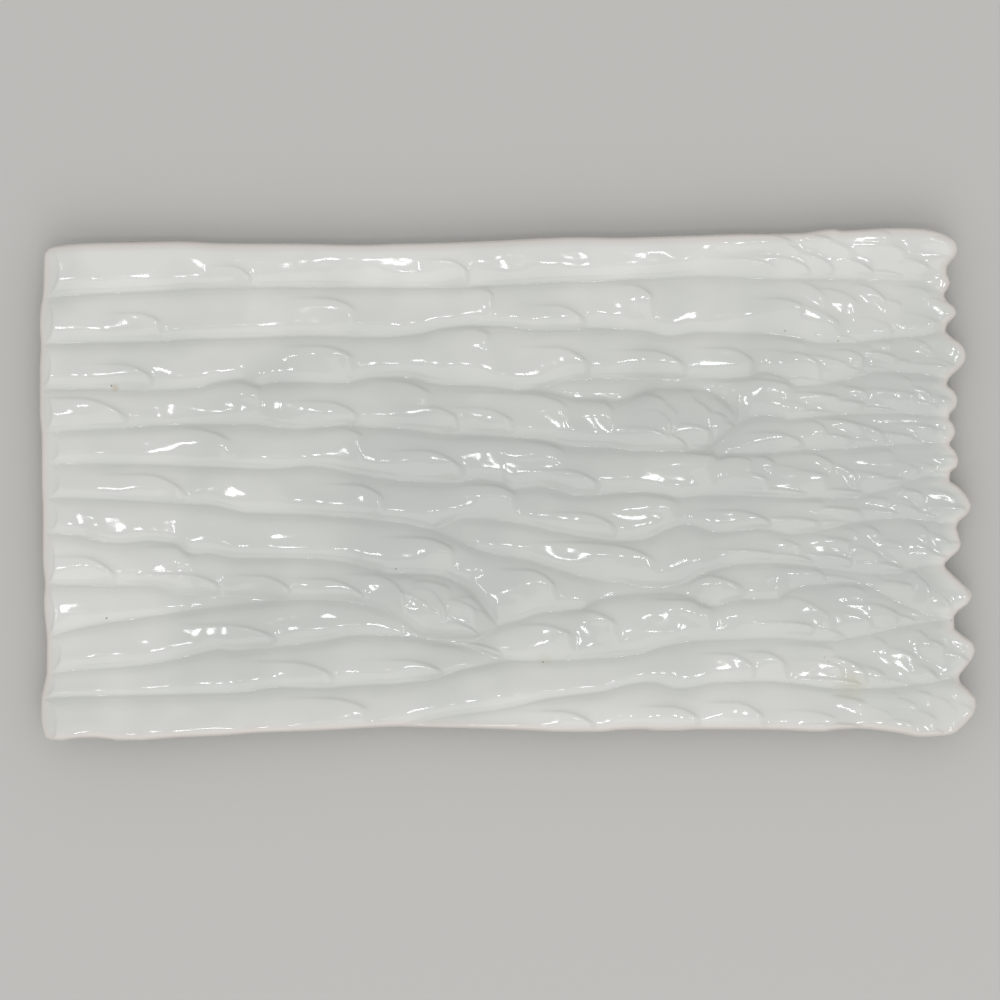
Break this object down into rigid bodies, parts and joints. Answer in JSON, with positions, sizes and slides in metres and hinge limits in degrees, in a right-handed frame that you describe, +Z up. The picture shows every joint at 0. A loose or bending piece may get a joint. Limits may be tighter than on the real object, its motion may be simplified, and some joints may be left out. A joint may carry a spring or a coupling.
{
  "type": "asparagus plate",
  "caption": "Rectangular white glazed serving plate whose face is a row of moulded asparagus spears, gently dished, on a low foot ring.",
  "frame": {"origin": "centre of the plate's outline, on the surface that the foot ring stands on", "axes": "+X along the spears from the cut stems to the tips, +Y across them towards the back edge, +Z up"},
  "size_m": [0.3794, 0.2076, 0.0207],
  "materials": {
    "white_glaze": "gloss",
    "bare_clay": "matte"
  },
  "bodies": {
    "root": {"plate_body": "white_glaze", "foot_ring": "bare_clay", "spear_01": "white_glaze", "spear_02": "white_glaze", "spear_03": "white_glaze", "spear_04": "white_glaze", "spear_05": "white_glaze", "spear_06": "white_glaze", "spear_07": "white_glaze", "spear_08": "white_glaze", "spear_09": "white_glaze", "spear_10": "white_glaze", "spear_11": "white_glaze", "spear_12": "white_glaze", "spear_13": "white_glaze", "spear_14": "white_glaze", "spear_15": "white_glaze", "spear_16": "white_glaze", "spear_17": "white_glaze"}
  },
  "joints": []
}
